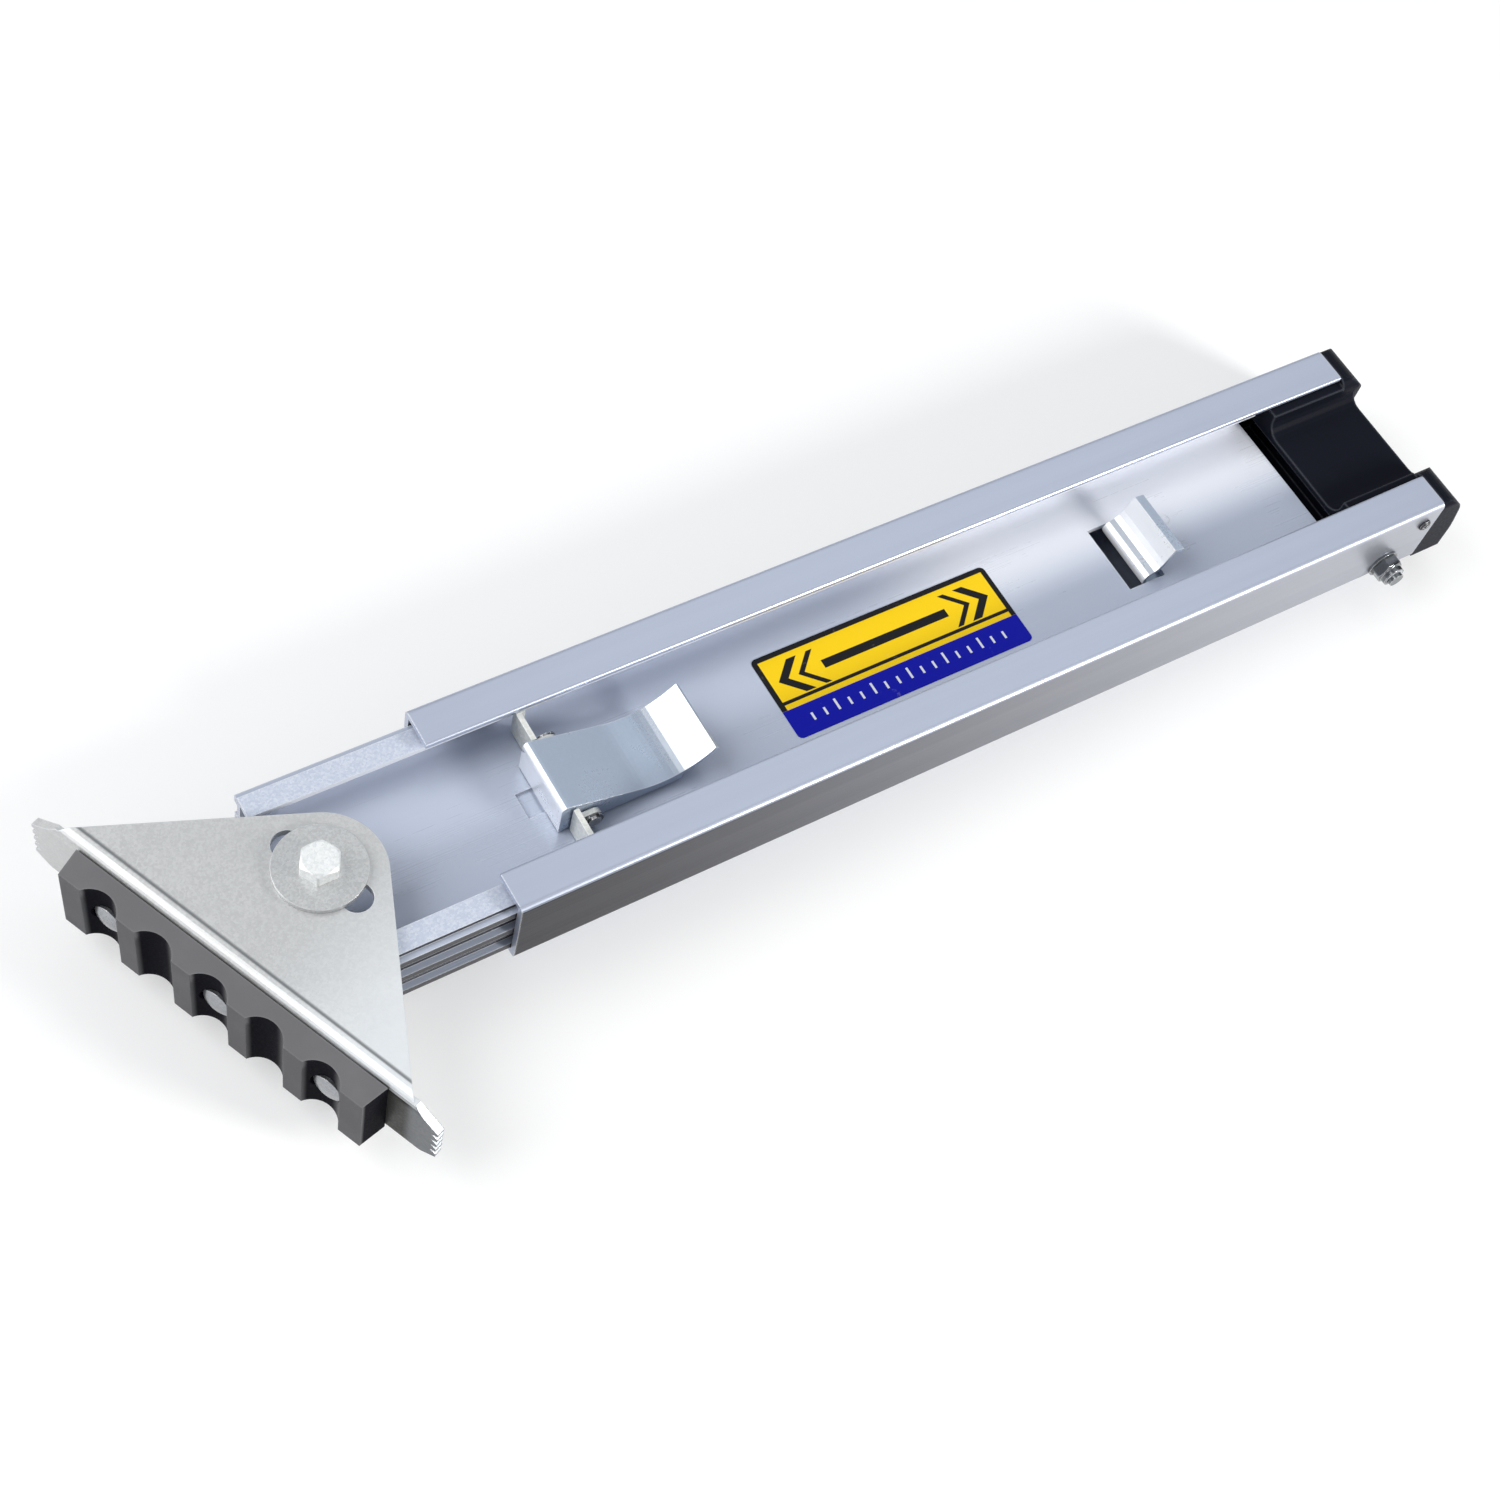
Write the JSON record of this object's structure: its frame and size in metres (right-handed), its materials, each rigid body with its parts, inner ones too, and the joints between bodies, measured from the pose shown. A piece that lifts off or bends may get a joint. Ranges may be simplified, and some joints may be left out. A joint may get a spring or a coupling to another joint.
{
  "type": "ladder leveller",
  "caption": "Telescoping ladder leg leveller: a channel bolted to a ladder rail holds a sliding leg with a swivelling padded foot, locked by a sprung thumb lever.",
  "frame": {"origin": "middle of the four rail bolt holes, on the outer channel's back face", "axes": "+X along the channels from the foot to the capped end, +Z out of the open side with the lever, +Y across to the anchor bolt's head; modelled lying on its back with the leg fully in and the foot turned 23.9 degrees"},
  "size_m": [0.522, 0.1468, 0.0496],
  "materials": {
    "outer_aluminium": "satin extruded, fine lines along the length",
    "leg_aluminium": "bright extruded, near-mirror web, mottled lips",
    "black_plastic": "moulded, low sheen, dark navy black",
    "zinc_plate": "zinc plated, fine speckle, soft sheen",
    "zinc_hardware": "zinc plated fasteners",
    "dark_steel": "oiled dark steel",
    "lever_steel": "bright zinc plated, blue cast",
    "label": "printed adhesive film, yellow panel on a blue band, no text",
    "pad_rubber": "moulded rubber, dark grey with black flutes"
  },
  "bodies": {
    "outer": {"outer_channel": "outer_aluminium", "end_cap": "black_plastic", "cap_screws": "dark_steel", "anchor_bolt": "zinc_hardware", "anchor_washers": "zinc_hardware", "anchor_nut": "zinc_hardware", "hanger_near": "zinc_plate", "hanger_far": "zinc_plate", "hanger_rivets": "outer_aluminium", "lever_pin": "zinc_hardware", "pin_clips": "dark_steel", "lever_spring": "dark_steel"},
    "lever": {"release_lever": "lever_steel"},
    "leg": {"leg_channel": "leg_aluminium", "label_plate": "label", "pivot_bolt": "zinc_hardware", "pivot_washers": "zinc_plate", "pivot_spacer": "zinc_hardware", "pivot_nut": "zinc_hardware"},
    "clip": {"stop_clip": "lever_steel", "clip_rivets": "leg_aluminium"},
    "bushings": {"slot_bushings": "zinc_hardware"},
    "foot": {"foot_bracket": "zinc_plate", "rubber_pad": "pad_rubber", "pad_rivets": "zinc_hardware", "pad_washers": "zinc_hardware"}
  },
  "joints": [
    {"name": "leg_slide", "type": "slide", "parent": "outer", "child": "leg", "axis": [-1, 0, 0], "range_m": [0, 0.185]},
    {"name": "lever_press", "type": "hinge", "parent": "outer", "child": "lever", "pos_m": [-0.151, 0, 0.0225], "axis": [0, 1, 0], "range_deg": [0, 2.4], "stiffness_Nm_per_rad": 0.6, "springref_deg": -17.19, "deforming": ["lever_spring"]},
    {"name": "clip_flex", "type": "hinge", "parent": "leg", "child": "clip", "pos_m": [0.1029, 0, 0.0159], "axis": [0, -1, 0], "range_deg": [0, 4], "stiffness_Nm_per_rad": 4, "springref_deg": -0.57},
    {"name": "foot_swivel", "type": "hinge", "parent": "leg", "child": "bushings", "pos_m": [-0.2386, 0, 0.0158], "axis": [0, 0, 1], "range_deg": [-73.9, 26.1]},
    {"name": "foot_shift", "type": "slide", "parent": "bushings", "child": "foot", "axis": [-0.4051, 0.9143, 0], "range_m": [-0.012, 0.012]}
  ]
}
